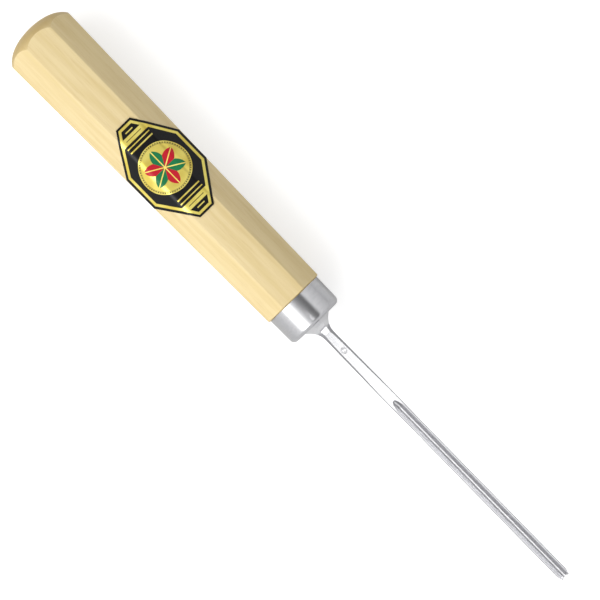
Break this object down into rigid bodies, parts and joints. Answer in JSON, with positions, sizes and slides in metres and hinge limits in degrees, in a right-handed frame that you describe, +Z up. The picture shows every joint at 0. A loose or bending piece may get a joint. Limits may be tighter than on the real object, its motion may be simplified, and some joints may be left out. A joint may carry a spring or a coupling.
{
  "type": "v parting tool",
  "caption": "Woodcarving V parting tool: octagonal wooden handle with a domed butt and foil label, steel ferrule, and a straight forged blade with a narrow V channel.",
  "frame": {"origin": "centre of the bounding box in X and Y, at its lowest point in Z, under the middle of the tool lying flat", "axes": "+X along the tool from the butt to the cutting edge, +Z up, with the V and the label facing up, +Y across"},
  "size_m": [0.2636, 0.0268, 0.0269],
  "materials": {
    "handle_wood": "pale fine-grained hardwood, planed and waxed satin",
    "ferrule_steel": "drawn steel, satin",
    "blade_steel": "forged tool steel, ground and polished bright",
    "label_foil": "glossy black and gold foil sticker"
  },
  "bodies": {
    "root": {"handle": "handle_wood", "ferrule": "ferrule_steel", "blade": "blade_steel", "label": "label_foil"}
  },
  "joints": []
}
